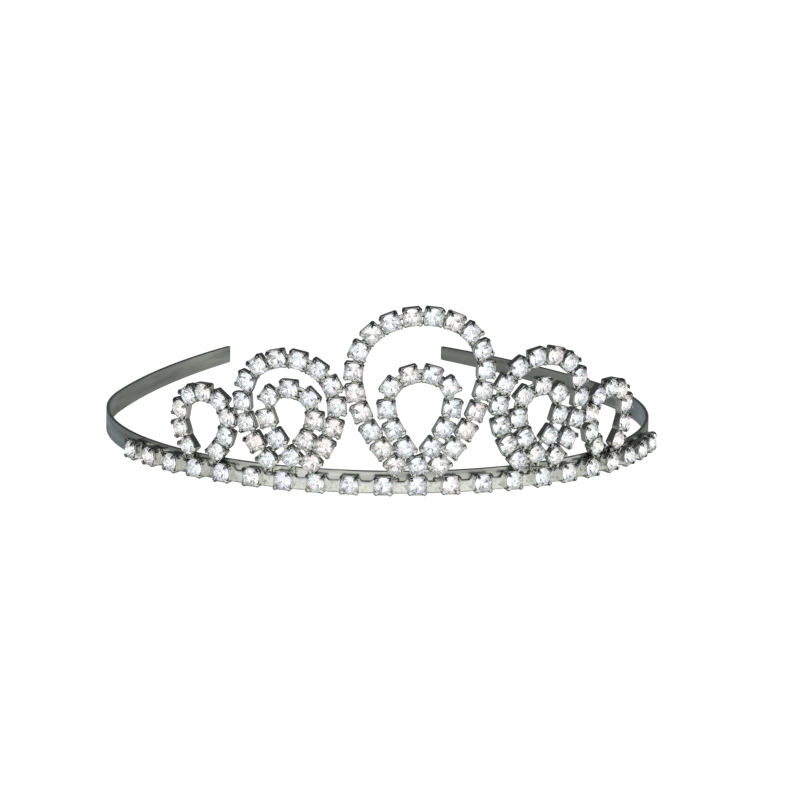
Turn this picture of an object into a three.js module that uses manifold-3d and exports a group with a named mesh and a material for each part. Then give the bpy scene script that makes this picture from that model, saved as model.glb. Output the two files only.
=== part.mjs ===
// A bridal tiara. A springy flat steel strip stands on edge, bent to a horseshoe that grips the
// head. A base row of square cups runs round its front, and eight loops of square cup chain stand
// on it: a large teardrop with a smaller one inside it at the centre, a middle-sized pair of
// nested teardrops on each side, and one small drop beyond each of those.
// Millimetres, +Z up, front towards -Y. The origin is under the middle of the whole piece.

import * as THREE from 'three';
import { mergeVertices } from 'three/addons/utils/BufferGeometryUtils.js';
import Module from 'manifold-3d';

const wasm = await Module();
wasm.setup();

const DEGREE = Math.PI / 180;

// Headband: mid-line of the strip in plan, a long front arc running into two flatter arms. The
// top edge slopes down along the arms, from behind the sides to the ends.
const band = {
  frontRadius: 67.2, frontSweep: 112 * DEGREE, armRadius: 210, armLength: 66,
  height: 5.5, thickness: 0.9, frontSteps: 24, armSteps: 8, taperStart: 10, endHeight: 4,
};

// Square cup whose rim dips along each side and rises to a prong at each corner. Depths are
// measured outwards from the cup's back.
const cup = { side: 4.2, wall: 0.2, floor: 0.45, rim: 2.0, prongTip: 2.8 };

// Faceted stone: pavilion point, girdle and table, eight-sided.
const stone = { acrossFlats: 3.7, tableShare: 0.6, point: 0.55, girdle: 2.0, table: 2.9, sides: 8 };

// Thin strip that joins the cups of a chain at their backs, and its feet on the headband.
const link = { width: 1.4, thickness: 0.3, setIn: 0.05, bite: 0.6, footBottom: 3.45 };

// Base row: spaced cups on a flat strip.
const base = {
  cupsEachSide: 10, cupAngle: 6.63 * DEGREE, cupHeight: 2.15,
  stripBottom: 0.4, stripTop: 3.1, stripThickness: 0.6, stripOverrun: 3 * DEGREE, cupSink: 0.15,
};

const solderGap = 0.1;
const lean = 6 * DEGREE;

// Teardrop loops. centre is the distance along the front from the middle; foot is the height of
// the outline's point; slant moves the outline outwards as it rises.
const loops = {
  centreOuter: {
    centre: 0, foot: 2.2, height: 42.1, width: 20.4, taper: 0.9, slant: 0, cups: 20, pitch: 5.2,
  },
  centreInner: { centre: 0, foot: 7.5, height: 22.7, width: 10.8, taper: 1.2, slant: 0, cups: 11 },
  midOuter: {
    centre: 31, foot: 3.5, height: 29.3, width: 13.9, taper: 0.54, slant: 0.035, cups: 14, pitch: 5.25,
  },
  midInner: { centre: 30.6, foot: 8.5, height: 16.8, width: 8, taper: 1, slant: 0.05, cups: 8 },
  drop: {
    centre: 54.9, foot: 4.2, height: 17.6, width: 8.6, taper: 0.55, slant: -0.02, cups: 9, pitch: 4.8,
  },
};

const bandFace = band.frontRadius + band.thickness / 2;
const chainBack = bandFace + solderGap;
const stripFront = chainBack + base.stripThickness;

function metal(color, roughness) {
  return new THREE.MeshStandardMaterial({ color, roughness, metalness: 1 });
}

function bandSteel() {
  return metal(0xb4b4b0, 0.32);
}

function platedMetal() {
  return metal(0xc4c6c8, 0.25);
}

function crystal() {
  return new THREE.MeshStandardMaterial({ color: 0xe9edf2, roughness: 0.05, metalness: 0.1 });
}

// Closed mesh to a solid for joining, leaving out the empty triangles at a lathe's poles.
function toSolid(geometry) {
  const bare = geometry.clone();
  bare.deleteAttribute('normal');
  bare.deleteAttribute('uv');
  const merged = mergeVertices(bare, 1e-4);
  const corners = merged.index.array;
  const triangles = [];
  for (let i = 0; i < corners.length; i += 3) {
    const [a, b, c] = corners.slice(i, i + 3);
    if (a !== b && b !== c && c !== a) {
      triangles.push(a, b, c);
    }
  }
  return new wasm.Manifold(new wasm.Mesh({
    numProp: 3,
    vertProperties: merged.attributes.position.array,
    triVerts: new Uint32Array(triangles),
  }));
}

function toGeometry(solid) {
  const mesh = solid.getMesh();
  const geometry = new THREE.BufferGeometry();
  geometry.setAttribute('position', new THREE.BufferAttribute(mesh.vertProperties, 3));
  geometry.setIndex(new THREE.BufferAttribute(mesh.triVerts, 1));
  geometry.computeVertexNormals();
  return geometry;
}

function join(geometries) {
  return geometries.map(toSolid).reduce((whole, next) => whole.add(next));
}

function namedMesh(name, geometry, material) {
  const mesh = new THREE.Mesh(geometry, material);
  mesh.name = name;
  return mesh;
}

// Points of the headband's mid-line moved outwards by offset, from the front to the right end.
function halfPlan(offset) {
  const points = [];
  for (let i = 0; i <= band.frontSteps; i += 1) {
    const angle = band.frontSweep * i / band.frontSteps;
    const radius = band.frontRadius + offset;
    points.push(new THREE.Vector2(radius * Math.sin(angle), -radius * Math.cos(angle)));
  }
  const shift = band.armRadius - band.frontRadius;
  const side = new THREE.Vector2(Math.sin(band.frontSweep), -Math.cos(band.frontSweep));
  const armCentre = side.multiplyScalar(-shift);
  for (let i = 1; i <= band.armSteps; i += 1) {
    const angle = band.frontSweep + band.armLength / band.armRadius * i / band.armSteps;
    const radius = band.armRadius + offset;
    points.push(new THREE.Vector2(radius * Math.sin(angle), -radius * Math.cos(angle)).add(armCentre));
  }
  return points;
}

function wholePlan(offset) {
  const right = halfPlan(offset);
  const left = right.slice(1).reverse().map((point) => new THREE.Vector2(-point.x, point.y));
  return [...left, ...right];
}

// Wedge above the arms' sloping top edges, across the whole piece.
function armTaperGeometry() {
  const back = halfPlan(0).at(-1).y;
  const slope = (band.height - band.endHeight) / (back - band.taperStart);
  const reach = 2 * band.frontRadius;
  const past = back + band.height;
  const section = new THREE.Shape([
    new THREE.Vector2(band.taperStart, band.height),
    new THREE.Vector2(past, band.height - slope * (past - band.taperStart)),
    new THREE.Vector2(past, 2 * band.height), new THREE.Vector2(band.taperStart, 2 * band.height),
  ]);
  const wedge = new THREE.ExtrudeGeometry(section, { depth: 2 * reach, bevelEnabled: false });
  return wedge.rotateX(Math.PI / 2).rotateZ(Math.PI / 2).translate(-reach, 0, 0);
}

function headbandGeometry() {
  const outline = [...wholePlan(band.thickness / 2), ...wholePlan(-band.thickness / 2).reverse()];
  const depth = band.height;
  const strip = new THREE.ExtrudeGeometry(new THREE.Shape(outline), { depth, bevelEnabled: false });
  return toGeometry(toSolid(strip).subtract(toSolid(armTaperGeometry())));
}

// Flat strip bent round the headband's front face, on the same steps as the headband.
function baseStripGeometry() {
  const end = base.cupsEachSide * base.cupAngle + base.stripOverrun;
  const step = band.frontSweep / band.frontSteps;
  const whole = Math.floor(end / step);
  const angles = [-end];
  for (let i = -whole; i <= whole; i += 1) {
    angles.push(i * step);
  }
  angles.push(end);
  const arc = (radius) => angles.map(
    (angle) => new THREE.Vector2(radius * Math.sin(angle), -radius * Math.cos(angle)),
  );
  const outline = new THREE.Shape([...arc(stripFront), ...arc(chainBack).reverse()]);
  const depth = base.stripTop - base.stripBottom;
  return new THREE.ExtrudeGeometry(outline, { depth, bevelEnabled: false }).translate(0, 0, base.stripBottom);
}

// Place on the front: arc along it, height up it and turn in its face. The frame's z axis points
// outwards from the chain's back, and the face leans outwards above the feet.
function faceFrame(arc, height, turn, tilt = lean, back = chainBack) {
  const radius = back + (height - link.footBottom) * Math.sin(tilt);
  const angle = arc / (radius + stone.girdle);
  const along = new THREE.Vector3(Math.cos(angle), Math.sin(angle), 0);
  const outward = new THREE.Vector3(Math.sin(angle), -Math.cos(angle), 0);
  const up = new THREE.Vector3(0, 0, Math.cos(tilt)).addScaledVector(outward, Math.sin(tilt));
  const out = new THREE.Vector3().crossVectors(along, up);
  const position = outward.clone().multiplyScalar(radius);
  position.z = height;
  const turned = new THREE.Matrix4().makeRotationZ(turn);
  return new THREE.Matrix4().makeBasis(along, up, out).setPosition(position).multiply(turned);
}

function blockGeometry(width, depth, bottom, top) {
  return new THREE.BoxGeometry(width, depth, top - bottom).translate(0, 0, (top + bottom) / 2);
}

// Wedge that cuts the rim of a cup down from its prong tips to the middle of two sides.
function rimCutGeometry() {
  const half = cup.side / 2;
  const section = new THREE.Shape([
    new THREE.Vector2(0, cup.rim),
    new THREE.Vector2(2 * half, 2 * cup.prongTip - cup.rim),
    new THREE.Vector2(-2 * half, 2 * cup.prongTip - cup.rim),
  ]);
  const wedge = new THREE.ExtrudeGeometry(section, { depth: 4 * half, bevelEnabled: false });
  return wedge.translate(0, 0, -2 * half).rotateX(Math.PI / 2);
}

function stoneGeometry() {
  const radius = stone.acrossFlats / 2 / Math.cos(Math.PI / stone.sides);
  const profile = [
    new THREE.Vector2(0, stone.point), new THREE.Vector2(radius, stone.girdle),
    new THREE.Vector2(radius * stone.tableShare, stone.table), new THREE.Vector2(0, stone.table),
  ];
  return new THREE.LatheGeometry(profile, stone.sides, Math.PI / stone.sides).rotateX(Math.PI / 2);
}

// Open cup for a separate stone, or a filled one that carries its stone in one solid.
function cupGeometry(carriesStone) {
  const wedges = [rimCutGeometry(), rimCutGeometry().rotateZ(Math.PI / 2)].map(toSolid);
  const block = toSolid(blockGeometry(cup.side, cup.side, 0, cup.prongTip));
  const body = wedges.reduce((left, wedge) => left.subtract(wedge), block);
  if (carriesStone) {
    return toGeometry(body.add(toSolid(stoneGeometry())));
  }
  const inside = cup.side - 2 * cup.wall;
  return toGeometry(body.subtract(toSolid(blockGeometry(inside, inside, cup.floor, cup.prongTip + 1))));
}

// Outline of a loop, from its low point up the near side, over the top and down the far side.
class Teardrop extends THREE.Curve {
  constructor({ width, height, foot, taper, slant }) {
    super();
    Object.assign(this, { width, height, foot, taper, slant });
    this.arcLengthDivisions = 400;
  }

  getPoint(t, target = new THREE.Vector3()) {
    const rising = t <= 0.5;
    const turn = 2 * Math.PI * (rising ? t : 1 - t);
    const half = this.width * Math.sin(turn) * Math.sin(turn / 2) ** this.taper;
    const rise = this.height * (1 - Math.cos(turn)) / 2;
    return target.set((rising ? -half : half) + this.slant * rise, this.foot + rise, 0);
  }
}

// Places of a loop's cups as shares of its outline: all round a closed loop, or centred on the
// top of an open one.
function cupShares(loop, length) {
  const shares = [];
  for (let i = 0; i < loop.cups; i += 1) {
    const open = 0.5 + (i - (loop.cups - 1) / 2) * loop.pitch / length;
    shares.push(loop.pitch ? open : i / loop.cups);
  }
  return shares;
}

function loopPlace(curve, loop, side, share) {
  const point = curve.getPointAt(share);
  const heading = curve.getTangentAt(share);
  const arc = side * (loop.centre + point.x);
  return { arc, height: point.y, turn: Math.atan2(heading.y, side * heading.x) };
}

function footGeometry({ arc, height }) {
  const length = height - link.footBottom;
  const frame = faceFrame(arc, link.footBottom + length / 2, 0);
  const top = link.setIn + link.thickness;
  return blockGeometry(link.width, length, link.setIn, top).applyMatrix4(frame);
}

function linkGeometry(place, gap) {
  const top = link.setIn + link.thickness;
  const frame = faceFrame(place.arc, place.height, place.turn);
  return blockGeometry(gap + 2 * link.bite, link.width, link.setIn, top).applyMatrix4(frame);
}

// One loop of cup chain with the links between its cups and its feet on the headband, and the
// frames of its cups for the stones.
function buildLoop(loop, side, carriesStones) {
  const curve = new Teardrop(loop);
  const length = curve.getLength();
  const shares = cupShares(loop, length);
  const places = shares.map((share) => loopPlace(curve, loop, side, share));
  const frames = places.map(({ arc, height, turn }) => faceFrame(arc, height, turn));
  const prototype = cupGeometry(carriesStones);
  const pieces = frames.map((frame) => prototype.clone().applyMatrix4(frame));
  const pitch = loop.pitch ?? length / loop.cups;
  const linkCount = loop.pitch ? loop.cups - 1 : loop.cups;
  for (let i = 0; i < linkCount; i += 1) {
    const middle = shares[i] + pitch / length / 2;
    pieces.push(linkGeometry(loopPlace(curve, loop, side, middle), pitch - cup.side));
  }
  const standing = loop.pitch ? [places[0], places[places.length - 1]] : [places[0]];
  pieces.push(...standing.map(footGeometry));
  return { chain: toGeometry(join(pieces)), frames };
}

function baseChainGeometry() {
  const prototype = cupGeometry(true);
  const pieces = [baseStripGeometry()];
  for (let i = -base.cupsEachSide; i <= base.cupsEachSide; i += 1) {
    const arc = i * base.cupAngle * (stripFront + stone.girdle);
    const frame = faceFrame(arc, base.cupHeight, 0, 0, stripFront - base.cupSink);
    pieces.push(prototype.clone().applyMatrix4(frame));
  }
  return toGeometry(join(pieces));
}

function addStones(group, prefix, frames) {
  const geometry = stoneGeometry();
  frames.forEach((frame, i) => {
    const mesh = namedMesh(`${prefix}_stone_${i + 1}`, geometry, crystal());
    mesh.applyMatrix4(frame);
    group.add(mesh);
  });
}

function addLoop(group, name, loop, side, stonePrefix) {
  const { chain, frames } = buildLoop(loop, side, !stonePrefix);
  group.add(namedMesh(name, chain, platedMetal()));
  if (stonePrefix) {
    addStones(group, stonePrefix, frames);
  }
}

function buildTiara() {
  const tiara = new THREE.Group();
  tiara.add(namedMesh('headband', headbandGeometry(), bandSteel()));
  tiara.add(namedMesh('base_chain', baseChainGeometry(), platedMetal()));
  addLoop(tiara, 'centre_outer_chain', loops.centreOuter, 1, 'centre');
  addLoop(tiara, 'centre_inner_chain', loops.centreInner, 1);
  for (const [name, side] of [['left', -1], ['right', 1]]) {
    addLoop(tiara, `${name}_mid_outer_chain`, loops.midOuter, side, `${name}_mid`);
    addLoop(tiara, `${name}_mid_inner_chain`, loops.midInner, side);
    addLoop(tiara, `${name}_drop_chain`, loops.drop, side);
  }
  return tiara;
}

// Moves the whole piece so that the origin lies under the middle of its box.
function centreOverOrigin(group) {
  group.updateMatrixWorld(true);
  const middle = new THREE.Box3().setFromObject(group, true).getCenter(new THREE.Vector3());
  group.position.set(-middle.x, -middle.y, 0);
  return group;
}

const group = centreOverOrigin(buildTiara());
export default group;
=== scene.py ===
"""Looks of a bridal tiara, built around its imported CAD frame.

A flat steel headband carries a base row of set crystals and eight standing loops of square cup
chain. The headband, the chains and every stone are rebuilt here in more detail than the CAD nodes
they stand for. Lengths are in millimetres until a mesh is made, and in metres from there on.
"""

import math
import random

import bpy
from mathutils import Matrix, Vector


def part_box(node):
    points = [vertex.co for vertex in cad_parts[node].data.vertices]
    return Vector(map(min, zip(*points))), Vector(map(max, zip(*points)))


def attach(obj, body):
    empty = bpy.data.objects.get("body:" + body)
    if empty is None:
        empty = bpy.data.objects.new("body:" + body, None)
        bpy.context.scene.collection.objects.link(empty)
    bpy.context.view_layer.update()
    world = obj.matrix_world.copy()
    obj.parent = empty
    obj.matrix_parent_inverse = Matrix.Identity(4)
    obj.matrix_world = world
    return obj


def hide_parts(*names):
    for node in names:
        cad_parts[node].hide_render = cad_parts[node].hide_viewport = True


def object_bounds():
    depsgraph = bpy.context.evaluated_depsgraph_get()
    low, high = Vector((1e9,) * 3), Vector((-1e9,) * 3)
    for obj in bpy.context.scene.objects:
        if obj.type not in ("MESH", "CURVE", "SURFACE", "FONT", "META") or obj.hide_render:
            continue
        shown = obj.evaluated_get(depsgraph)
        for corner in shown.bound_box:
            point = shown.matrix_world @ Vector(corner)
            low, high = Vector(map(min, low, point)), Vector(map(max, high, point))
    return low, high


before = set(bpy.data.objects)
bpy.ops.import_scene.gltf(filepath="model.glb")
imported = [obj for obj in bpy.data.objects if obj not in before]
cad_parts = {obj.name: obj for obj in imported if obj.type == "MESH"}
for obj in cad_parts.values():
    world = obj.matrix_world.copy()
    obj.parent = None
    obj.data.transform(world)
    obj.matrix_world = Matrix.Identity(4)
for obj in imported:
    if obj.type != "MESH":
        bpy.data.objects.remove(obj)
cad_box = [list(corner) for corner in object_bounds()]

MM = 0.001
dice = random.Random(7)

# Headband: plan of the strip's mid-line, and its section.
FRONT_RADIUS = 67.2
FRONT_SWEEP = math.radians(112)
ARM_RADIUS = 210.0
ARM_LENGTH = 66.0
BAND_HEIGHT = 5.5
BAND_THICKNESS = 0.9
BAND_ROUNDING = 0.2
TAPER_START = 10.0
END_HEIGHTS = {-1: 4.4, 1: 3.65}
END_ROUNDING = 0.6

# Cups and stones, with depths measured outwards from a cup's back.
CUP_HALF = 2.3
CUP_CORNER = 0.5
CUP_WALL = 0.16
CUP_FLOOR = 0.35
RIM_MIDDLE = 1.8
RIM_CORNER = 2.25
GIRDLE_RADIUS = 2.2
GIRDLE_DEPTH = 2.0
TABLE_RADIUS = 1.3
TABLE_DEPTH = 2.9
CULET_DEPTH = 0.5
GIRDLE_THICKNESS = 0.1
CUP_TURN = 2
STONE_TILT = 2.5

# Chain: the link strip behind the cups.
LINK_WIDTH = 1.3
LINK_BACK = -0.06
LINK_FRONT = 0.32
FOOT_BOTTOM = 3.45
LEAN = math.radians(6)

# Base row.
CUPS_EACH_SIDE = 10
CUP_ANGLE = math.radians(6.63)
BASE_CUP_HEIGHT = 2.4
STRIP_BOTTOM, STRIP_TOP, STRIP_THICKNESS = 0.4, 3.1, 0.6
STRIP_OVERRUN = math.radians(3)
CUP_SINK = 0.15
LOBE_DROP, LOBE_RISE = 0.25, 1.3
LOBE_HALF_WIDTH, LOBE_BLEND = 1.7, 1.25

BAND_FACE = FRONT_RADIUS + BAND_THICKNESS / 2
CHAIN_BACK = BAND_FACE + 0.1
STRIP_FRONT = CHAIN_BACK + STRIP_THICKNESS

# Loops: (centre, foot, height, width, taper, slant, cups, pitch), pitch None all round the loop.
LOOPS = {
    "centre_outer": (0, 2.2, 42.1, 20.4, 0.9, 0, 20, 5.2),
    "centre_inner": (0, 7.5, 22.7, 10.8, 1.2, 0, 11, None),
    "mid_outer": (31, 3.5, 29.3, 13.9, 0.54, 0.035, 14, 5.25),
    "mid_inner": (30.6, 8.5, 16.8, 8, 1, 0.05, 8, None),
    "drop": (54.9, 4.2, 17.6, 8.6, 0.55, -0.02, 9, 4.8),
}

band_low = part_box("headband")[0]
ARC_CENTRE_Y = band_low.y / MM + BAND_FACE


# ---------------------------------------------------------------- node helpers


class Tree:
    """Short calls for building one node tree."""

    def __init__(self, tree):
        self.tree = tree
        tree.nodes.clear()

    def add(self, kind, settings=None, **inputs):
        node = self.tree.nodes.new(kind)
        for key, value in (settings or {}).items():
            setattr(node, key, value)
        for key, value in inputs.items():
            self.put(node, key, value)
        return node

    def put(self, node, key, value):
        """Link or set one input, named as on the node with _ for a space, or i and its index."""
        socket = node.inputs[int(key[1:])] if key[0] == "i" and key[1:].isdigit() else None
        socket = socket or node.inputs[key.replace("_", " ")]
        if isinstance(value, bpy.types.NodeSocket):
            self.tree.links.new(value, socket)
        else:
            socket.default_value = value

    def math(self, operation, a, b=0.0, clamp=False):
        settings = {"operation": operation, "use_clamp": clamp}
        return self.add("ShaderNodeMath", settings, i0=a, i1=b).outputs[0]

    def spread(self, value, low, high, to_low=0.0, to_high=1.0):
        """value from low..high to to_low..to_high, with smooth ends."""
        settings = {"interpolation_type": "SMOOTHSTEP"}
        node = self.add("ShaderNodeMapRange", settings, i0=value, i1=low, i2=high, i3=to_low, i4=to_high)
        return node.outputs[0]

    def ramp(self, value, stops):
        node = self.add("ShaderNodeValToRGB", i0=value)
        band = node.color_ramp
        while len(band.elements) < len(stops):
            band.elements.new(0.5)
        for element, (place, colour) in zip(band.elements, stops):
            element.position = place
            element.color = (*colour, 1)
        return node.outputs[0]

    def mix(self, share, a, b, blend="MIX"):
        settings = {"data_type": "RGBA", "blend_type": blend}
        node = self.add("ShaderNodeMix", settings)
        self.put(node, "i0", share)
        for index, value in ((6, a), (7, b)):
            if isinstance(value, bpy.types.NodeSocket):
                self.tree.links.new(value, node.inputs[index])
            else:
                node.inputs[index].default_value = (*value, 1)
        return node.outputs[2]

    def noise(self, vector, scale, detail=3.0, roughness=0.5):
        node = self.add("ShaderNodeTexNoise", None, Vector=vector, Scale=scale, Detail=detail,
                        Roughness=roughness)
        return node.outputs["Fac"]

    def bump(self, height, strength, distance):
        node = self.add("ShaderNodeBump", None, Strength=strength, Distance=distance, Height=height)
        return node.outputs[0]

    def stretched(self, uv, x, y, turn=0.0):
        """uv scaled by x and y and turned, for patterns that run along a strip."""
        node = self.add("ShaderNodeMapping", None, Vector=uv, Scale=(x, y, 1), Rotation=(0, 0, turn))
        return node.outputs[0]


def painted_recess_shade(tree, colour, reach, dark):
    """colour, darkened towards dark as painted shade where neighbouring surfaces crowd it within reach
    metres.
    """
    open_share = tree.add("ShaderNodeAmbientOcclusion", {"samples": 6}, Distance=reach).outputs["AO"]
    return tree.mix(tree.spread(open_share, 0.05, 0.6), dark, colour)


def new_material(name):
    material = bpy.data.materials.new(name)
    material.use_nodes = True
    return material, Tree(material.node_tree)


def close_material(tree, shader):
    tree.add("ShaderNodeOutputMaterial", None, Surface=shader.outputs[0])


# ---------------------------------------------------------------- materials


def plated_metal():
    """Bright plating with slight clouding, dulled patches and fine wear, and painted shade where
    neighbouring parts crowd it.
    """
    material, t = new_material("plated_metal")
    place = t.add("ShaderNodeTexCoord").outputs["Object"]
    cloud = t.noise(place, 420, 4)
    fine = t.noise(place, 5200, 3, 0.6)
    dull = t.spread(t.noise(place, 1300, 2), 0.52, 0.74)
    bright = t.ramp(cloud, [(0.3, (0.64, 0.65, 0.62)), (0.7, (0.82, 0.83, 0.80))])
    # Painted shade: the plating darkens in gaps, under claws and between cups.
    colour = painted_recess_shade(t, t.mix(dull, bright, (0.55, 0.555, 0.52)), 0.0012, (0.52, 0.525, 0.50))
    rough = t.math("ADD", t.spread(cloud, 0.3, 0.7, 0.1, 0.2), t.math("MULTIPLY", dull, 0.14))
    shader = t.add("ShaderNodeBsdfPrincipled", None, Base_Color=colour, Roughness=rough, Metallic=1.0,
                   Normal=t.bump(fine, 0.22, 0.00003))
    close_material(t, shader)
    return material


def band_steel():
    """Polished strip steel: lengthwise grain, soft cloudy zones and short scuffs, and painted shade where
    neighbouring parts crowd it.
    """
    material, t = new_material("band_steel")
    uv = t.add("ShaderNodeTexCoord").outputs["UV"]
    grain = t.noise(t.stretched(uv, 60, 5200), 1, 3, 0.6)
    zone = t.noise(t.stretched(uv, 34, 300), 1, 3, 0.55)
    scuff = t.spread(t.noise(t.stretched(uv, 420, 1500, 0.5), 1, 3), 0.62, 0.75)
    colour = t.ramp(zone, [(0.34, (0.36, 0.37, 0.35)), (0.62, (0.72, 0.73, 0.695))])
    colour = t.mix(t.spread(grain, 0.35, 0.7, 0, 0.22), colour, (0.34, 0.345, 0.32))
    colour = t.mix(t.math("MULTIPLY", scuff, 0.25), colour, (0.72, 0.73, 0.70))
    # Painted shade: the band darkens where cups and strips crowd it.
    colour = painted_recess_shade(t, colour, 0.0013, (0.24, 0.25, 0.22))
    rough = t.math("ADD", t.spread(zone, 0.3, 0.7, 0.3, 0.16), t.math("MULTIPLY", scuff, 0.14))
    shader = t.add("ShaderNodeBsdfPrincipled", None, Base_Color=colour, Roughness=rough, Metallic=1.0,
                   Normal=t.bump(grain, 0.12, 0.00003))
    close_material(t, shader)
    return material


def claw_metal_painted_shade():
    """The same plating in dark tones, as painted shade, on the claws that stand uppermost on their cups,
    mottled at random.
    """
    material, t = new_material("claw_metal_painted_shade")
    place = t.add("ShaderNodeTexCoord").outputs["Object"]
    wear = t.noise(place, 900, 3, 0.6)
    # Painted shade: these dark tones stand for the shade on upward-facing claws; the noise only mottles
    # them at random.
    colour = t.ramp(wear, [(0.32, (0.27, 0.265, 0.275)), (0.68, (0.46, 0.46, 0.46))])
    shader = t.add("ShaderNodeBsdfPrincipled", None, Base_Color=colour, Metallic=1.0,
                   Roughness=t.spread(wear, 0.3, 0.7, 0.24, 0.12), Normal=t.bump(wear, 0.2, 0.00004))
    close_material(t, shader)
    return material


def solder_metal():
    """Dull, grainy solder."""
    material, t = new_material("solder")
    place = t.add("ShaderNodeTexCoord").outputs["Object"]
    grain = t.noise(place, 2600, 4, 0.65)
    colour = t.ramp(grain, [(0.3, (0.34, 0.34, 0.33)), (0.7, (0.6, 0.6, 0.58))])
    shader = t.add("ShaderNodeBsdfPrincipled", None, Base_Color=colour, Metallic=1.0,
                   Roughness=t.spread(grain, 0.3, 0.7, 0.28, 0.5), Normal=t.bump(grain, 0.5, 0.00006))
    close_material(t, shader)
    return material


def crystal_front():
    """Clear cut glass of a stone's crown, with faint clouding and polishing marks."""
    material, t = new_material("crystal_front")
    place = t.add("ShaderNodeTexCoord").outputs["Object"]
    tint = t.noise(place, 300, 2)
    marks = t.noise(place, 2400, 2)
    colour = t.ramp(tint, [(0.3, (0.955, 0.955, 1.0)), (0.5, (1, 1, 1)), (0.7, (0.985, 1.0, 0.97))])
    shader = t.add("ShaderNodeBsdfPrincipled", None, Base_Color=colour,
                   Roughness=t.spread(marks, 0.45, 0.75, 0.02, 0.08), IOR=1.56,
                   Transmission_Weight=1.0, Normal=t.bump(marks, 0.03, 0.00002))
    close_material(t, shader)
    return material


def crystal_foil():
    """Silver foil on a stone's back, seen through the crown, with faint traces of colour."""
    material, t = new_material("crystal_foil")
    place = t.add("ShaderNodeTexCoord").outputs["Object"]
    hue = t.noise(place, 170, 2, 0.6)
    stops = [(0.30, (0.92, 0.92, 1.0)), (0.40, (0.97, 0.97, 0.985)), (0.46, (0.93, 0.98, 1.0)),
             (0.52, (0.97, 0.975, 0.96)), (0.58, (1.0, 0.94, 0.94)), (0.66, (0.97, 0.98, 0.95)),
             (0.76, (0.94, 0.99, 0.94))]
    colour = t.ramp(hue, stops)
    crinkle = t.noise(place, 2100, 2)
    shader = t.add("ShaderNodeBsdfPrincipled", None, Base_Color=colour, Metallic=1.0,
                   Roughness=t.spread(crinkle, 0.4, 0.7, 0.18, 0.30),
                   Normal=t.bump(crinkle, 0.15, 0.00004))
    close_material(t, shader)
    return material


PLATED = plated_metal()
STEEL = band_steel()
SHADED_CLAW_METAL = claw_metal_painted_shade()
SOLDER = solder_metal()
CRYSTAL_FRONT = crystal_front()
CRYSTAL_FOIL = crystal_foil()


# ---------------------------------------------------------------- meshes


class Shape:
    """Points and faces gathered for one piece, in millimetres."""

    def __init__(self):
        self.points, self.faces, self.kinds = [], [], []

    def add(self, points, faces, place=None, kind=0):
        start = len(self.points)
        self.points += [place @ Vector(p) if place else Vector(p) for p in points]
        self.faces += [tuple(start + i for i in face) for face in faces]
        self.kinds += [kind] * len(faces)

    def loft(self, rings, place=None, caps=True, kind=0):
        """Skin over closed rings of points, which run anticlockwise seen from the last ring."""
        count = len(rings[0])
        points = [p for ring in rings for p in ring]
        faces = []
        for r in range(len(rings) - 1):
            for i in range(count):
                j = (i + 1) % count
                faces.append((r * count + i, r * count + j, (r + 1) * count + j, (r + 1) * count + i))
        if caps:
            last = (len(rings) - 1) * count
            faces.append(tuple(range(count))[::-1])
            faces.append(tuple(range(last, last + count)))
        self.add(points, faces, place, kind)


def piece(name, shape, materials, nodes=(), sharp=None, uvs=None):
    """Object made from shape, riding on the CAD body and standing for the CAD nodes. Its surface is
    smooth up to edges of sharp degrees, or flat-faced without one."""
    mesh = bpy.data.meshes.new(name)
    lift = Vector((0, ARC_CENTRE_Y, 0))
    mesh.from_pydata([(p + lift) * MM for p in shape.points], [], shape.faces)
    for material in materials:
        mesh.materials.append(material)
    mesh.polygons.foreach_set("material_index", shape.kinds)
    if uvs:
        layer = mesh.uv_layers.new(name="length")
        for loop in mesh.loops:
            layer.data[loop.index].uv = uvs[loop.vertex_index]
    if sharp:
        mesh.shade_smooth()
        mesh.set_sharp_from_angle(angle=math.radians(sharp))
    mesh.validate()
    made = bpy.data.objects.new(name, mesh)
    bpy.context.scene.collection.objects.link(made)
    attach(made, "root")
    if nodes:
        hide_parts(*nodes)


def smoothstep(x):
    x = min(max(x, 0.0), 1.0)
    return x * x * (3 - 2 * x)


def half_plan_point(length):
    """Point and outward direction of the headband's mid-line, length mm from the front."""
    side = 1 if length >= 0 else -1
    length = abs(length)
    front = FRONT_RADIUS * FRONT_SWEEP
    if length <= front:
        angle = length / FRONT_RADIUS
        out = Vector((math.sin(angle), -math.cos(angle), 0))
        point = out * FRONT_RADIUS
    else:
        angle = FRONT_SWEEP + (length - front) / ARM_RADIUS
        out = Vector((math.sin(angle), -math.cos(angle), 0))
        start = Vector((math.sin(FRONT_SWEEP), -math.cos(FRONT_SWEEP), 0))
        point = out * ARM_RADIUS - start * (ARM_RADIUS - FRONT_RADIUS)
    return Vector((side * point.x, point.y, 0)), Vector((side * out.x, out.y, 0))


def rounded_box(x0, x1, y0, y1, radius, steps=3):
    """Points round a rectangle with rounded corners, anticlockwise."""
    points = []
    for cx, cy, start in ((x1, y1, 0), (x0, y1, 90), (x0, y0, 180), (x1, y0, 270)):
        centre_x = cx - radius if cx == x1 else cx + radius
        centre_y = cy - radius if cy == y1 else cy + radius
        for i in range(steps + 1):
            a = math.radians(start + 90 * i / steps)
            points.append((centre_x + radius * math.cos(a), centre_y + radius * math.sin(a)))
    return points


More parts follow.
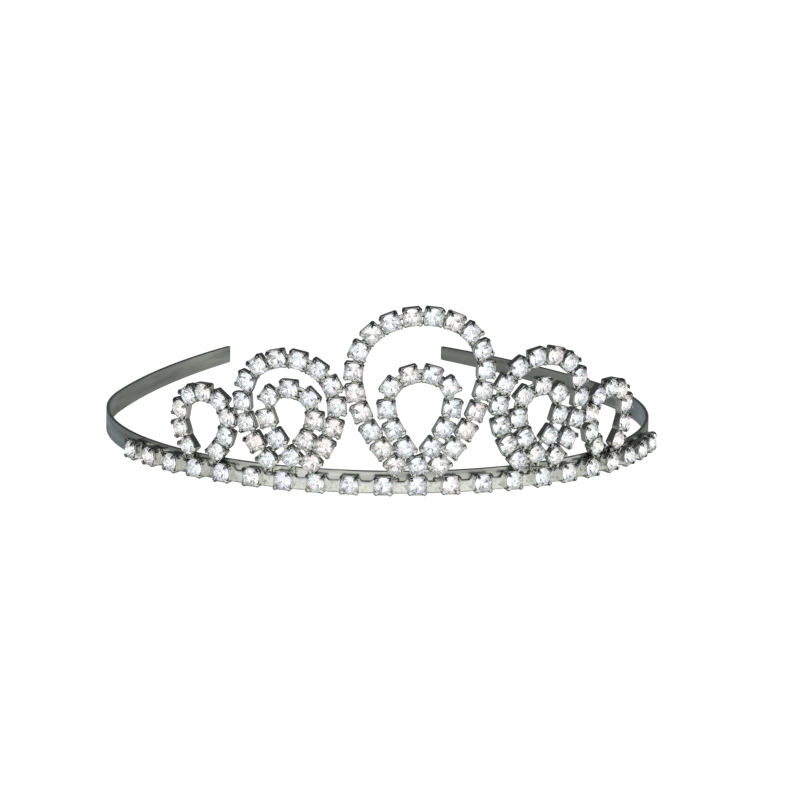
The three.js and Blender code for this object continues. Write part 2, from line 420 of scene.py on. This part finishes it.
def build_headband():
    """Strip lofted along its plan, lower towards its cut ends, with UVs in metres along and round."""
    shape, uvs = Shape(), []
    total = FRONT_RADIUS * FRONT_SWEEP + ARM_LENGTH
    end_y = half_plan_point(total)[0].y
    steps = 300
    ends = [0.0, 0.1, 0.25, 0.5]
    lengths = [-total + e for e in ends]
    lengths += [-total + 2 + (2 * total - 4) * i / steps for i in range(steps + 1)]
    lengths += [total - e for e in ends[::-1]]
    rings = []
    for length in lengths:
        point, out = half_plan_point(length)
        slope = (BAND_HEIGHT - END_HEIGHTS[1 if length > 0 else -1]) / (end_y - TAPER_START)
        top = BAND_HEIGHT - slope * max(0.0, point.y - TAPER_START)
        near_end = 1 - min((total - abs(length)) / END_ROUNDING, 1)
        corner = 1 - math.sqrt(1 - near_end ** 2)
        low, high = 0.5 * corner, top - 0.12 * corner
        half = BAND_THICKNESS / 2 * (1 - 0.25 * near_end ** 4)
        section = rounded_box(-half, half, low, high, BAND_ROUNDING * (1 - 0.2 * near_end))
        rings.append([point + out * x + Vector((0, 0, z)) for x, z in section])
        around = 0.0
        for i, (x, z) in enumerate(section):
            if i:
                around += math.dist(section[i - 1], (x, z))
            uvs.append((length * MM, around * MM))
    shape.loft(rings)
    piece("headband_strip", shape, [STEEL], ["headband"], 40, uvs)


def face_frame(arc, height, turn, tilt=LEAN, back=CHAIN_BACK):
    """Place on the front: z outwards from the chain's back, leaning outwards above the feet."""
    radius = back + (height - FOOT_BOTTOM) * math.sin(tilt)
    angle = arc / (radius + GIRDLE_DEPTH)
    along = Vector((math.cos(angle), math.sin(angle), 0))
    outward = Vector((math.sin(angle), -math.cos(angle), 0))
    up = Vector((0, 0, math.cos(tilt))) + outward * math.sin(tilt)
    out = along.cross(up)
    place = Matrix((along, up, out)).transposed().to_4x4()
    place.translation = outward * radius + Vector((0, 0, height))
    return place @ Matrix.Rotation(turn, 4, "Z")


def teardrop_point(loop, t):
    """Point of a loop's outline, sideways from its centre and up, for t from 0 to 1 all round."""
    _, foot, height, width, taper, slant, _, _ = loop
    turn = 2 * math.pi * (t if t <= 0.5 else 1 - t)
    half = width * math.sin(turn) * math.sin(turn / 2) ** taper
    rise = height * (1 - math.cos(turn)) / 2
    return Vector(((-half if t <= 0.5 else half) + slant * rise, foot + rise))


class Outline:
    """A loop's outline, walked by length."""

    def __init__(self, loop, side):
        self.loop, self.side = loop, side
        self.points = [teardrop_point(loop, i / 800) for i in range(801)]
        self.lengths = [0.0]
        for a, b in zip(self.points, self.points[1:]):
            self.lengths.append(self.lengths[-1] + (b - a).length)
        self.length = self.lengths[-1]

    def at(self, length):
        """Arc along the band, height and heading of the outline, length mm along it."""
        length = min(max(length, 0.0), self.length - 1e-6)
        low, high = 0, 800
        while high - low > 1:
            middle = (low + high) // 2
            if self.lengths[middle] <= length:
                low = middle
            else:
                high = middle
        share = (length - self.lengths[low]) / max(self.lengths[high] - self.lengths[low], 1e-9)
        point = self.points[low].lerp(self.points[high], share)
        heading = self.points[min(high + 2, 800)] - self.points[max(low - 2, 0)]
        arc = self.side * (self.loop[0] + point.x)
        return arc, point.y, math.atan2(heading.y, self.side * heading.x)

    def cup_lengths(self):
        """Lengths of the cups: all round a closed loop, or centred on the top of an open one."""
        cups, pitch = self.loop[6:]
        if pitch is None:
            return [self.length * i / cups for i in range(cups)]
        return [self.length / 2 + (i - (cups - 1) / 2) * pitch for i in range(cups)]


def square_ring(half, corner, depth):
    """Points round a rounded square with divided sides, and depth(nearness to a corner) as height."""
    points = rounded_box(-half, half, -half, half, corner, 4)
    parts = 6
    filled = []
    for i, (x, y) in enumerate(points):
        filled.append((x, y))
        after_x, after_y = points[(i + 1) % len(points)]
        if math.dist((x, y), (after_x, after_y)) > half * 0.5:
            for k in range(1, parts):
                filled.append((x + (after_x - x) * k / parts, y + (after_y - y) * k / parts))
    return [(x, y, depth(min(abs(x), abs(y)) / max(abs(x), abs(y)))) for x, y in filled]


def rim_depth(nearness):
    """Depth of a cup's rim, for a nearness of 0 in the middle of a side to 1 at a corner."""
    return RIM_MIDDLE + (RIM_CORNER - RIM_MIDDLE) * nearness ** 2


def add_cup(shape, place):
    """Square open cup with a rounded foot, a dipping rim and four claws bent over the stone."""
    inner = CUP_HALF - CUP_WALL
    rings = [
        square_ring(CUP_HALF - 0.28, CUP_CORNER - 0.15, lambda n: 0.0),
        square_ring(CUP_HALF - 0.12, CUP_CORNER, lambda n: 0.12),
        square_ring(CUP_HALF - 0.05, CUP_CORNER, lambda n: 0.6),
        square_ring(CUP_HALF, CUP_CORNER, lambda n: rim_depth(n) - 0.06),
        square_ring(CUP_HALF - 0.05, CUP_CORNER - 0.05, rim_depth),
        square_ring(inner, CUP_CORNER - CUP_WALL, rim_depth),
        square_ring(inner - 0.1, CUP_CORNER - CUP_WALL, lambda n: CUP_FLOOR),
    ]
    shape.loft(rings, place)
    for corner in range(4):
        turn = Matrix.Rotation(math.radians(45 + 90 * corner + dice.uniform(-3, 3)), 4, "Z")
        add_claw(shape, place @ turn, dice.uniform(-0.08, 0.08))


# Claw mid-line: distance from the cup's axis and depth, then the claw's half width there.
CLAW = [(2.86, 1.2, 0.46), (2.94, 1.85, 0.46), (2.88, 2.22, 0.45), (2.70, 2.50, 0.43),
        (2.42, 2.66, 0.40), (2.14, 2.77, 0.35), (1.92, 2.86, 0.28), (1.80, 2.90, 0.15)]


def add_claw(shape, place, reach):
    """Claw bent over the stone along x, in darker metal as painted shade where it stands uppermost."""
    uppermost = (place.to_3x3() @ Vector((1, 0, 0))).z > 0.15
    rings = []
    for i, (r, z, half) in enumerate(CLAW):
        before, after = CLAW[max(i - 1, 0)], CLAW[min(i + 1, len(CLAW) - 1)]
        along = Vector((after[0] - before[0], after[1] - before[1])).normalized()
        out = Vector((along.y, -along.x))
        r -= reach * i / len(CLAW)
        thick = 0.2 if i < len(CLAW) - 1 else 0.12
        ring = []
        for across, level in ((-half, -0.5), (half, -0.5), (half, 0.15), (half * 0.55, 0.5),
                              (-half * 0.55, 0.5), (-half, 0.15)):
            ring.append((r + out.x * thick * level, across, z + out.y * thick * level))
        rings.append(ring)
    # Painted shade: claws that point upwards take the darker claw metal, kind 1.
    shape.loft(rings, place, kind=1 if uppermost else 0)


def add_strip(shape, places, ring_closed=False):
    """Link strip with rounded edges, swept through places along their x axis."""
    section = rounded_box(-LINK_WIDTH / 2, LINK_WIDTH / 2, LINK_BACK, LINK_FRONT, 0.12, 2)
    rings = [[place @ Vector((0, y, z)) for y, z in section] for place in places]
    if ring_closed:
        rings.append(rings[0])
    shape.loft(rings, caps=not ring_closed)


def stone_points():
    """Eight-cut stone: table, crown and pavilion planes meeting a round girdle. Returns the points,
    the glass faces and the foiled faces."""
    apothem = TABLE_RADIUS * math.cos(math.pi / 8)
    crown_slope = (TABLE_DEPTH - GIRDLE_DEPTH - GIRDLE_THICKNESS) / (GIRDLE_RADIUS - apothem)
    back_slope = (GIRDLE_DEPTH - CULET_DEPTH) / GIRDLE_RADIUS
    points = []
    for i in range(8):
        angle = math.tau * (i + 0.5) / 8
        points.append((TABLE_RADIUS * math.cos(angle), TABLE_RADIUS * math.sin(angle), TABLE_DEPTH))
    for level, slope in ((TABLE_DEPTH + crown_slope * apothem, -crown_slope), (CULET_DEPTH, back_slope)):
        for i in range(16):
            angle = math.tau * i / 16
            toward = GIRDLE_RADIUS * (1 if i % 2 == 0 else math.cos(math.pi / 8))
            points.append((GIRDLE_RADIUS * math.cos(angle), GIRDLE_RADIUS * math.sin(angle),
                           level + slope * toward))
    points.append((0, 0, CULET_DEPTH))
    top, bottom, culet = 8, 24, 40
    front, back = [tuple(range(8))], []
    for k in range(8):
        before, middle, after = (2 * k - 1) % 16, 2 * k, 2 * k + 1
        front.append(((k - 1) % 8, top + before, top + middle, top + after, k))
        back.append((culet, bottom + after, bottom + middle, bottom + before))
    for i in range(16):
        j = (i + 1) % 16
        front.append((bottom + i, bottom + j, top + j, top + i))
    return points, front, back


STONE = stone_points()


def build_stone(name, place, nodes=()):
    """Stone set in the cup at place, turned at random and not quite straight."""
    shape = Shape()
    points, front, back = STONE
    turn = Matrix.Rotation(dice.uniform(0, math.tau), 4, "Z")
    tilt = Matrix.Rotation(math.radians(dice.uniform(-STONE_TILT, STONE_TILT)), 4, "X")
    tilt = tilt @ Matrix.Rotation(math.radians(dice.uniform(-STONE_TILT, STONE_TILT)), 4, "Y")
    centre = Matrix.Translation((0, 0, GIRDLE_DEPTH))
    set_in = place @ centre @ tilt @ centre.inverted() @ turn
    shape.add(points, front, set_in)
    shape.faces += back
    shape.kinds += [1] * len(back)
    piece(name, shape, [CRYSTAL_FRONT, CRYSTAL_FOIL], nodes)


def small_turn():
    """A cup's own slight turn about its axis, as hand-bent chain shows."""
    return Matrix.Rotation(math.radians(dice.uniform(-CUP_TURN, CUP_TURN)), 4, "Z")


def add_foot(shape, arc, height):
    """Upright end of a link strip, from the band up to a cup."""
    steps = 6
    low = FOOT_BOTTOM - 0.2
    places = [face_frame(arc, low + (height - low) * i / steps, math.pi / 2) for i in range(steps + 1)]
    add_strip(shape, places)


def add_solder(shape, arc):
    """Lump of solder joining a foot to the headband and the base strip."""
    place = face_frame(arc, FOOT_BOTTOM, 0, 0, BAND_FACE)
    rings = []
    for radius, z in ((1.0, -0.02), (0.98, 0.2), (0.84, 0.5), (0.55, 0.72), (0.2, 0.8)):
        ring = []
        for i in range(14):
            angle = math.tau * i / 14
            lump = 1 + 0.09 * math.sin(3 * angle + arc) + 0.05 * math.sin(5 * angle + 2 * arc)
            reach = radius * lump
            ring.append((1.15 * reach * math.cos(angle), 0.8 * reach * math.sin(angle), z))
        rings.append(ring)
    shape.loft(rings, place, kind=2)


def build_loop(label, loop, side, chain_node, stone_prefix, stone_nodes):
    """Loop of cup chain with its stones, which have CAD nodes of their own where stone_nodes says."""
    outline, shape = Outline(loop, side), Shape()
    lengths = outline.cup_lengths()
    for number, length in enumerate(lengths, 1):
        place = face_frame(*outline.at(length)) @ small_turn()
        add_cup(shape, place)
        node = [f"{stone_prefix}_{number}"] if stone_nodes else []
        build_stone(f"{stone_prefix}_{number}_cut", place, node)
    count = 160
    closed = loop[7] is None
    if closed:
        stops = [outline.length * i / count for i in range(count)]
        standing = [lengths[0]]
    else:
        start, end = lengths[0] - 0.6, lengths[-1] + 0.6
        stops = [start + (end - start) * i / count for i in range(count + 1)]
        standing = [lengths[0], lengths[-1]]
    add_strip(shape, [face_frame(*outline.at(s)) for s in stops], ring_closed=closed)
    for length in standing:
        arc, height, _ = outline.at(length)
        add_foot(shape, arc, height)
        add_solder(shape, arc)
    piece(f"{label}_cups", shape, [PLATED, SHADED_CLAW_METAL, SOLDER], [chain_node], 32)


def base_strip_edges(angle):
    """Lowest and highest points of the base strip: it swells to a lobe behind each cup."""
    reach = (STRIP_FRONT + GIRDLE_DEPTH) * abs((angle / CUP_ANGLE) - round(angle / CUP_ANGLE)) * CUP_ANGLE
    lobe = 1 - smoothstep((reach - LOBE_HALF_WIDTH) / LOBE_BLEND)
    if abs(round(angle / CUP_ANGLE)) > CUPS_EACH_SIDE:
        lobe = 0
    return STRIP_BOTTOM - LOBE_DROP * lobe, STRIP_TOP + LOBE_RISE * lobe


def build_base():
    """Base strip on the band's front, with its row of cups and stones."""
    shape = Shape()
    end = CUPS_EACH_SIDE * CUP_ANGLE + STRIP_OVERRUN
    steps = 420
    rings = []
    for i in range(steps + 1):
        angle = -end + 2 * end * i / steps
        low, high = base_strip_edges(angle)
        outward = Vector((math.sin(angle), -math.cos(angle), 0))
        section = rounded_box(CHAIN_BACK, STRIP_FRONT, low, high, 0.14, 2)
        rings.append([outward * r + Vector((0, 0, z)) for r, z in section])
    shape.loft(rings)
    for i in range(-CUPS_EACH_SIDE, CUPS_EACH_SIDE + 1):
        arc = i * CUP_ANGLE * (STRIP_FRONT + GIRDLE_DEPTH)
        place = face_frame(arc, BASE_CUP_HEIGHT, 0, 0, STRIP_FRONT - CUP_SINK) @ small_turn()
        add_cup(shape, place)
        build_stone(f"base_stone_{i + CUPS_EACH_SIDE + 1}_cut", place)
    piece("base_row_cups", shape, [PLATED, SHADED_CLAW_METAL], ["base_chain"], 32)


build_headband()
build_base()
build_loop("centre_outer", LOOPS["centre_outer"], 1, "centre_outer_chain", "centre_stone", True)
build_loop("centre_inner", LOOPS["centre_inner"], 1, "centre_inner_chain", "centre_inner_stone", False)
for label, side in (("left", -1), ("right", 1)):
    build_loop(f"{label}_mid_outer", LOOPS["mid_outer"], side, f"{label}_mid_outer_chain",
               f"{label}_mid_stone", True)
    build_loop(f"{label}_mid_inner", LOOPS["mid_inner"], side, f"{label}_mid_inner_chain",
               f"{label}_mid_inner_stone", False)
    build_loop(f"{label}_drop", LOOPS["drop"], side, f"{label}_drop_chain",
               f"{label}_drop_stone", False)


# ---------------------------------------------------------------- studio


def build_floor():
    """White table just below the claws, bright enough to show no shadow."""
    size, z = 3.0, -0.0002
    mesh = bpy.data.meshes.new("floor")
    corners = [(-size, -size, z), (size, -size, z), (size, size, z), (-size, size, z)]
    mesh.from_pydata(corners, [], [(0, 1, 2, 3)])
    material, t = new_material("floor_white")
    place = t.add("ShaderNodeTexCoord").outputs["Object"]
    tone = t.ramp(t.noise(place, 3, 2), [(0.3, (0.9, 0.9, 0.9)), (0.7, (0.93, 0.93, 0.93))])
    shader = t.add("ShaderNodeBsdfPrincipled", None, Base_Color=tone, Roughness=0.7,
                   Emission_Color=(1, 1, 1, 1), Emission_Strength=1.0)
    close_material(t, shader)
    mesh.materials.append(material)
    floor = bpy.data.objects.new("floor", mesh)
    floor.visible_glossy = False
    floor.visible_transmission = False
    bpy.context.scene.collection.objects.link(floor)


def build_world():
    """Soft studio surround: the metal mirrors a pale table in front and a dark room above it, and
    the stones gather a softer, patchy light. Tones run round from the back, 0, past the left
    to the front, 0.5, and past the right to the back again, 1."""
    world = bpy.data.worlds.new("studio")
    world.use_nodes = True
    t = Tree(world.node_tree)
    direction = t.add("ShaderNodeTexCoord").outputs["Generated"]
    split = t.add("ShaderNodeSeparateXYZ", None, Vector=direction)
    x, y, z = split.outputs
    heading = t.math("ARCTAN2", x, t.math("MULTIPLY", y, -1.0))
    around = t.math("ADD", t.math("MULTIPLY", heading, 1 / math.tau), 0.5)
    low = t.ramp(around, [
        (0.0, (0.24, 0.255, 0.255)), (0.06, (0.23, 0.27, 0.29)), (0.15, (0.215, 0.23, 0.23)),
        (0.25, (0.24, 0.25, 0.24)), (0.33, (0.94, 0.95, 0.91)), (0.5, (1.0, 1.01, 0.965)),
        (0.68, (0.94, 0.95, 0.91)), (0.76, (0.46, 0.47, 0.445)), (0.81, (0.36, 0.365, 0.35)),
        (0.88, (0.215, 0.225, 0.21)), (1.0, (0.24, 0.255, 0.255)),
    ])
    metal = t.mix(t.spread(z, 0.02, 0.26), low, (0.06, 0.06, 0.065))
    metal = t.mix(t.spread(z, -0.85, -0.95), metal, (0.12, 0.12, 0.12))
    soft = t.ramp(around, [
        (0.0, (0.40, 0.40, 0.41)), (0.2, (0.95, 0.95, 0.95)), (0.32, (1.26, 1.26, 1.27)),
        (0.5, (1.32, 1.32, 1.34)), (0.68, (1.26, 1.26, 1.26)), (0.8, (0.9, 0.92, 0.9)),
        (1.0, (0.40, 0.40, 0.41)),
    ])
    patches = t.add("ShaderNodeTexVoronoi", {"feature": "F1"}, Vector=direction, Scale=2.6,
                    Randomness=0.9)
    shades = [(0.25, (0.68, 0.68, 0.69)), (0.5, (0.95, 0.95, 0.95)), (0.8, (1.1, 1.1, 1.1))]
    shade = t.ramp(patches.outputs["Color"], shades)
    soft = t.mix(1.0, soft, shade, "MULTIPLY")
    soft = t.mix(t.spread(z, -0.5, -0.85), soft, (1.0, 1.0, 0.98))
    rays = t.add("ShaderNodeLightPath")
    tone = t.mix(rays.outputs["Is Transmission Ray"], metal, soft)
    lit = t.add("ShaderNodeBackground", None, Color=tone, Strength=1.0)
    plain = t.add("ShaderNodeBackground", None, Color=(1, 1, 1, 1), Strength=1.0)
    shader = t.add("ShaderNodeMixShader", None, i0=rays.outputs["Is Camera Ray"], i1=lit.outputs[0],
                   i2=plain.outputs[0])
    t.add("ShaderNodeOutputWorld", None, Surface=shader.outputs[0])
    bpy.context.scene.world = world


def add_panel(name, at, size, power, colour=(1, 1, 1)):
    """Soft light panel turned to the piece."""
    light = bpy.data.lights.new(name, "AREA")
    light.shape = "RECTANGLE"
    light.size, light.size_y = size
    light.energy = power
    light.color = colour
    panel = bpy.data.objects.new(name, light)
    panel.location = at
    panel.rotation_euler = (Vector((0, 0, 0.02)) - Vector(at)).to_track_quat("-Z", "Y").to_euler()
    bpy.context.scene.collection.objects.link(panel)


def build_lights():
    add_panel("key", (-0.7, -1.0, 0.75), (0.8, 0.6), 1.6)
    add_panel("fill", (0.95, -0.8, 0.5), (0.6, 0.6), 1.0, (0.95, 0.97, 1))


def build_camera():
    """Camera to the front and slightly left, looking down on the piece."""
    azimuth, elevation, roll = math.radians(-8.291), math.radians(12.608), math.radians(1.117)
    distance = 1.266
    centre = (Vector(cad_box[0]) + Vector(cad_box[1])) / 2
    target = centre + Vector((0.00843, 0.01597, -0.02009))
    back = Vector((math.sin(azimuth) * math.cos(elevation), -math.cos(azimuth) * math.cos(elevation),
                   math.sin(elevation)))
    data = bpy.data.cameras.new("camera")
    data.sensor_width = 36.0
    data.lens = 224.442
    data.clip_start, data.clip_end = 0.05, 20
    camera = bpy.data.objects.new("camera", data)
    turn = (-back).to_track_quat("-Z", "Y").to_matrix() @ Matrix.Rotation(roll, 3, "Z")
    camera.matrix_world = Matrix.Translation(target + back * distance) @ turn.to_4x4()
    bpy.context.scene.collection.objects.link(camera)
    bpy.context.scene.camera = camera


build_floor()
build_world()
build_lights()
build_camera()

scene = bpy.context.scene
scene.view_settings.view_transform = "Standard"
scene.cycles.glossy_bounces = 8
